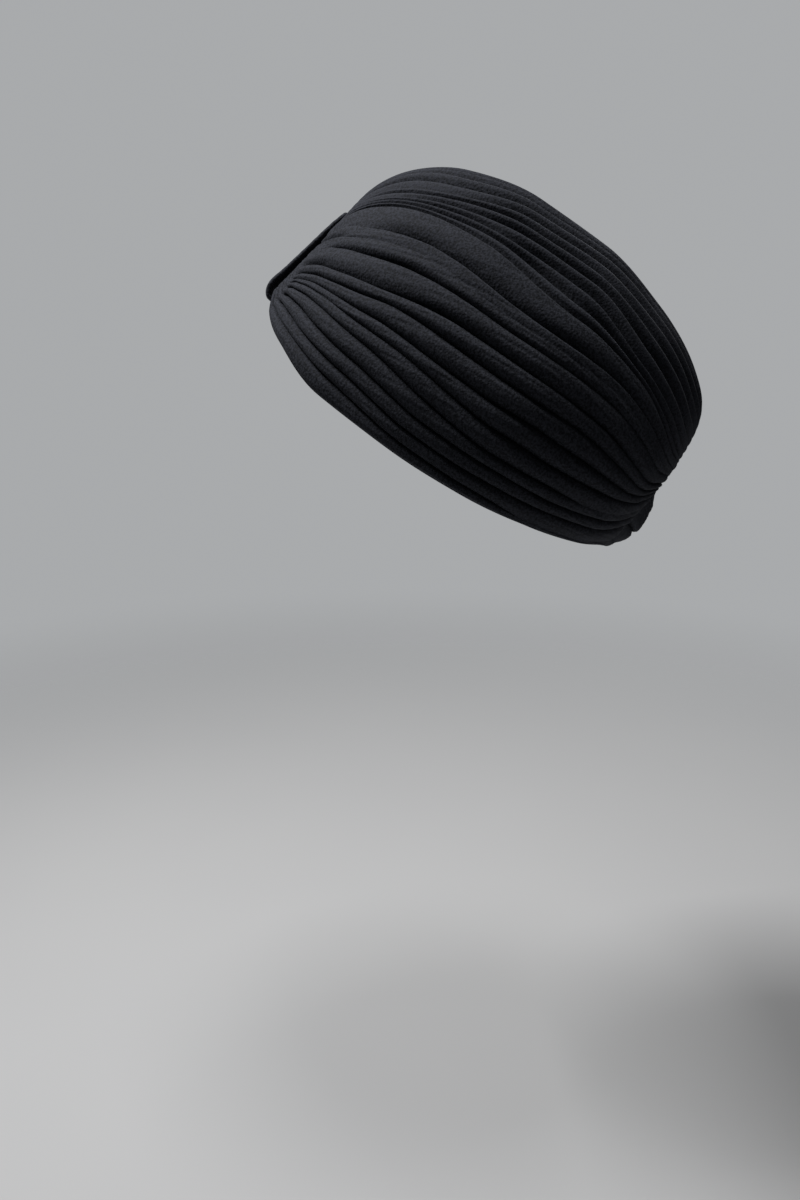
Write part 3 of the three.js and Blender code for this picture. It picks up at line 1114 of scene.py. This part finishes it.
@dataclass
class FrontBand(ClothPiece):
    """The flat keeper band at the brow: a flattened tube over the gathered ends of the pleats."""

    form: CapForm
    width: float = 20 * MM
    thick: float = 2.8 * MM
    crown: float = 0.5 * MM
    rows: int = 110
    row_ease: float = 0.7
    around: int = 48
    side_power: float = 0.42
    face_power: float = 0.6
    pucker: float = 0.05 * MM
    pucker_along: float = 210.0
    pucker_across: float = 60.0
    pucker_breaks: float = 47.0
    end_round: float = 1.6 * MM
    end_share: float = 0.1
    # Crest at the band's edges; its underside gets less: painted shade
    edge_crest: float = 0.6
    flat: Pair = (0.021, 0.07)

    def build(self) -> Object:
        """Sweep the band's rounded section along its path, with thin ends and faint puckers.

        Returns:
            The band's shape.
        """
        path = np.array(BAND_PATH) * MM
        chord = np.concatenate(([0], np.cumsum(np.linalg.norm(np.diff(path, axis=0), axis=1))))
        t = chord[-1] * eased_rows(self.rows, self.row_ease)
        u, w = smooth_column(chord, path[:, 0], t), smooth_column(chord, path[:, 1], t)
        middle = self.form.from_opening(np.zeros_like(u), u, w)
        out = np.cross((1.0, 0.0, 0.0), np.gradient(middle, axis=0))
        out = out / np.linalg.norm(out, axis=1, keepdims=True)
        turn = np.linspace(0, 2 * np.pi, self.around)
        x = signed_power(np.cos(turn), self.side_power) * self.width / 2
        rise = signed_power(np.sin(turn), self.face_power) * self.thick / 2
        rise = rise + self.crown * (1 - (2 * x / self.width) ** 2)
        along = t[:, None]
        waves = np.sin(2 * np.pi * (along * self.pucker_along + self.pucker_across * x[None, :]))
        waves = waves * np.sin(2 * np.pi * along * self.pucker_breaks)
        to_end = np.clip(np.minimum(t, chord[-1] - t) / self.end_round, 0, 1)
        swell = np.maximum(np.sqrt(1 - (1 - to_end) ** 2), self.end_share)
        rises = rise[None, :] * swell[:, None] + self.pucker * waves
        points = middle[:, None, :] + out[:, None, :] * rises[..., None]
        points[..., 0] = -x[None, :]
        # The band's outer face keeps its crest, while its edges and underside get lower crests: painted
        # shade
        crest = np.clip(self.edge_crest + (1 - self.edge_crest) * np.sin(turn), 0, 1)
        made = self.from_grid(points, np.broadcast_to(crest, points.shape[:2]))
        self.close(made)
        return made

    def close(self, made: Object) -> None:
        """Sew the tube's long edges together and close its two ends.

        Args:
            made: the band.
        """
        tube = bmesh.new()
        tube.from_mesh(made.data)
        bmesh.ops.remove_doubles(tube, verts=tube.verts, dist=TINY)
        ends = [edge for edge in tube.edges if edge.is_boundary]
        bmesh.ops.holes_fill(tube, edges=ends, sides=0)
        bmesh.ops.recalc_face_normals(tube, faces=tube.faces)
        for face in tube.faces:
            face.smooth = True
        tube.to_mesh(made.data)
        tube.free()

    def dress(self, made: Object) -> None:
        """Finish the band."""
        super().dress(made)


@dataclass(frozen=True)
class PaleFloor:
    """The matte pale paint of the floor, which fades into the pale air around the studio."""

    name: str = "pale_floor"
    light: Triple = (0.6, 0.6, 0.6)
    dark: Triple = (0.56, 0.56, 0.565)
    cloud_scale: float = 3.0
    cloud_detail: float = 3.0
    roughness: float = 0.9
    fade_span: Pair = (0.46, 1.3)

    def material(self) -> Material:
        """Build the paint, with a faint unevenness.

        Returns:
            The material, which lets the air show through it further and further out.
        """
        material = bpy.data.materials.new(self.name)
        material.use_nodes = True
        tree = material.node_tree
        place = shader_node(tree, "TexCoord").outputs["Object"]
        cloud = shader_node(tree, "TexNoise", Vector=place, Scale=self.cloud_scale)
        feed(tree, cloud.inputs["Detail"], self.cloud_detail)
        paint = tree.nodes["Principled BSDF"]
        uneven = mix_colours(tree, cloud.outputs["Fac"], (*self.dark, 1), (*self.light, 1))
        feed(tree, paint.inputs["Base Color"], uneven)
        feed(tree, paint.inputs["Roughness"], self.roughness)
        reach = shader_node(tree, "VectorMath", place, operation="LENGTH")
        fade = shader_node(tree, "MapRange", reach.outputs["Value"], *self.fade_span)
        fade.interpolation_type = "SMOOTHSTEP"
        clear = shader_node(tree, "BsdfTransparent")
        surfaces = (paint.outputs["BSDF"], clear.outputs["BSDF"])
        blend = shader_node(tree, "MixShader", fade.outputs["Result"], *surfaces)
        feed(tree, tree.nodes["Material Output"].inputs["Surface"], blend.outputs[0])
        return material


@dataclass(frozen=True)
class SoftLight:
    """A square soft light that faces the origin, with its side in metres."""

    name: str
    at: Triple
    side: float
    watts: float

    def hang(self) -> None:
        """Hang the light, out of the camera's sight."""
        data = bpy.data.lights.new(self.name, "AREA")
        data.size = self.side
        data.energy = self.watts
        light = place_object(self.name, data)
        light.visible_camera = False
        light.location = self.at
        light.rotation_euler = light.location.to_track_quat("Z", "Y").to_euler()


LIGHTS = (
    SoftLight("window_light", (0.03, -0.46, 0.8), 0.24, 10.5),
    SoftLight("top_light", (0.1, 0.05, 1.15), 0.3, 4.5),
    SoftLight("far_side_light", (-0.8, 0.65, 0.6), 0.5, 3.0),
)


@dataclass(frozen=True)
class Studio:
    """Pale floor, soft lights and the camera at the photograph's viewing angle."""

    floor_z: float = -0.40
    floor_size: float = 6.0
    camera_at: Triple = (0.455, -0.0197, 0.0398)
    camera_pitch: float = math.radians(15.5)
    lens: float = 27.0
    sensor: float = 36.0
    clip_start: float = 0.01
    air_light: float = 0.05
    air_tint: Triple = (0.86, 0.89, 0.93)
    air_look: float = 0.46
    air_look_tint: Triple = (0.86, 0.88, 0.9)

    def build_floor(self) -> None:
        """Lay the floor."""
        plane = bmesh.new()
        bmesh.ops.create_grid(plane, x_segments=2, y_segments=2, size=self.floor_size / 2)
        bmesh.ops.translate(plane, verts=plane.verts, vec=(0, 0, self.floor_z))
        mesh = bpy.data.meshes.new("floor")
        plane.to_mesh(mesh)
        plane.free()
        floor = place_object("floor", mesh)
        mesh.materials.append(PaleFloor().material())

    def build_lights(self) -> None:
        """Light the wrap softly from before and above it, with a little fill."""
        for light in LIGHTS:
            light.hang()
        bpy.context.scene.view_settings.view_transform = "Standard"

    def build_air(self) -> None:
        """Fill the studio with a faint light, and let its air look pale to the camera."""
        world = bpy.data.worlds.new("studio_air")
        bpy.context.scene.world = world
        world.use_nodes = True
        tree = world.node_tree
        faint = tree.nodes["Background"]
        feed(tree, faint.inputs["Color"], (*self.air_tint, 1))
        feed(tree, faint.inputs["Strength"], self.air_light)
        pale = shader_node(tree, "Background", (*self.air_look_tint, 1), self.air_look)
        seen = shader_node(tree, "LightPath").outputs["Is Camera Ray"]
        mix = shader_node(tree, "MixShader", seen, faint.outputs[0], pale.outputs[0])
        feed(tree, tree.nodes["World Output"].inputs["Surface"], mix.outputs[0])

    def build_camera(self) -> None:
        """Set the camera at the wearer's left side, level with the wrap and tilted down."""
        data = bpy.data.cameras.new("camera")
        data.lens = self.lens
        data.sensor_width = self.sensor
        data.clip_start = self.clip_start
        camera = place_object("camera", data)
        camera.location = self.camera_at
        camera.rotation_euler = (math.pi / 2 - self.camera_pitch, 0, math.pi / 2)
        bpy.context.scene.camera = camera


# The crown's narrow valleys get more painted shade against their ribs than the sides' do
CROWN_PAINTED_SHADE_WEIGHT = 0.46


def main() -> None:
    """Build the studio and the pieces in order, and report each one."""
    logging.basicConfig(level=logging.INFO, format="%(name)s: %(message)s")
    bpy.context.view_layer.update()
    studio = Studio()
    studio.build_camera()
    studio.build_floor()
    studio.build_lights()
    studio.build_air()
    form = CapForm()
    side_cloth = CrepeFinish("side_crepe")
    crown_cloth = CrepeFinish("crown_crepe", painted_shade_weight=CROWN_PAINTED_SHADE_WEIGHT)
    band_cloth = CrepeFinish("band_crepe")
    pieces = (
        SideWrap("side_wrap_left", "side_cloth", side_cloth, WearSide.LEFT, form, LEFT_SEED),
        SideWrap("side_wrap_right", "side_cloth", side_cloth, WearSide.RIGHT, form, RIGHT_SEED),
        CrownPanel("crown_panel", "crown_cloth", crown_cloth, form, CROWN_SEED),
        FrontBand("front_band", "band_cloth", band_cloth, form),
    )
    for piece in pieces:
        made = piece.build()
        piece.dress(made)
        log.info("%s: %d faces before thickness", made.name, len(made.data.polygons))


if __name__ == "__main__":
    main()
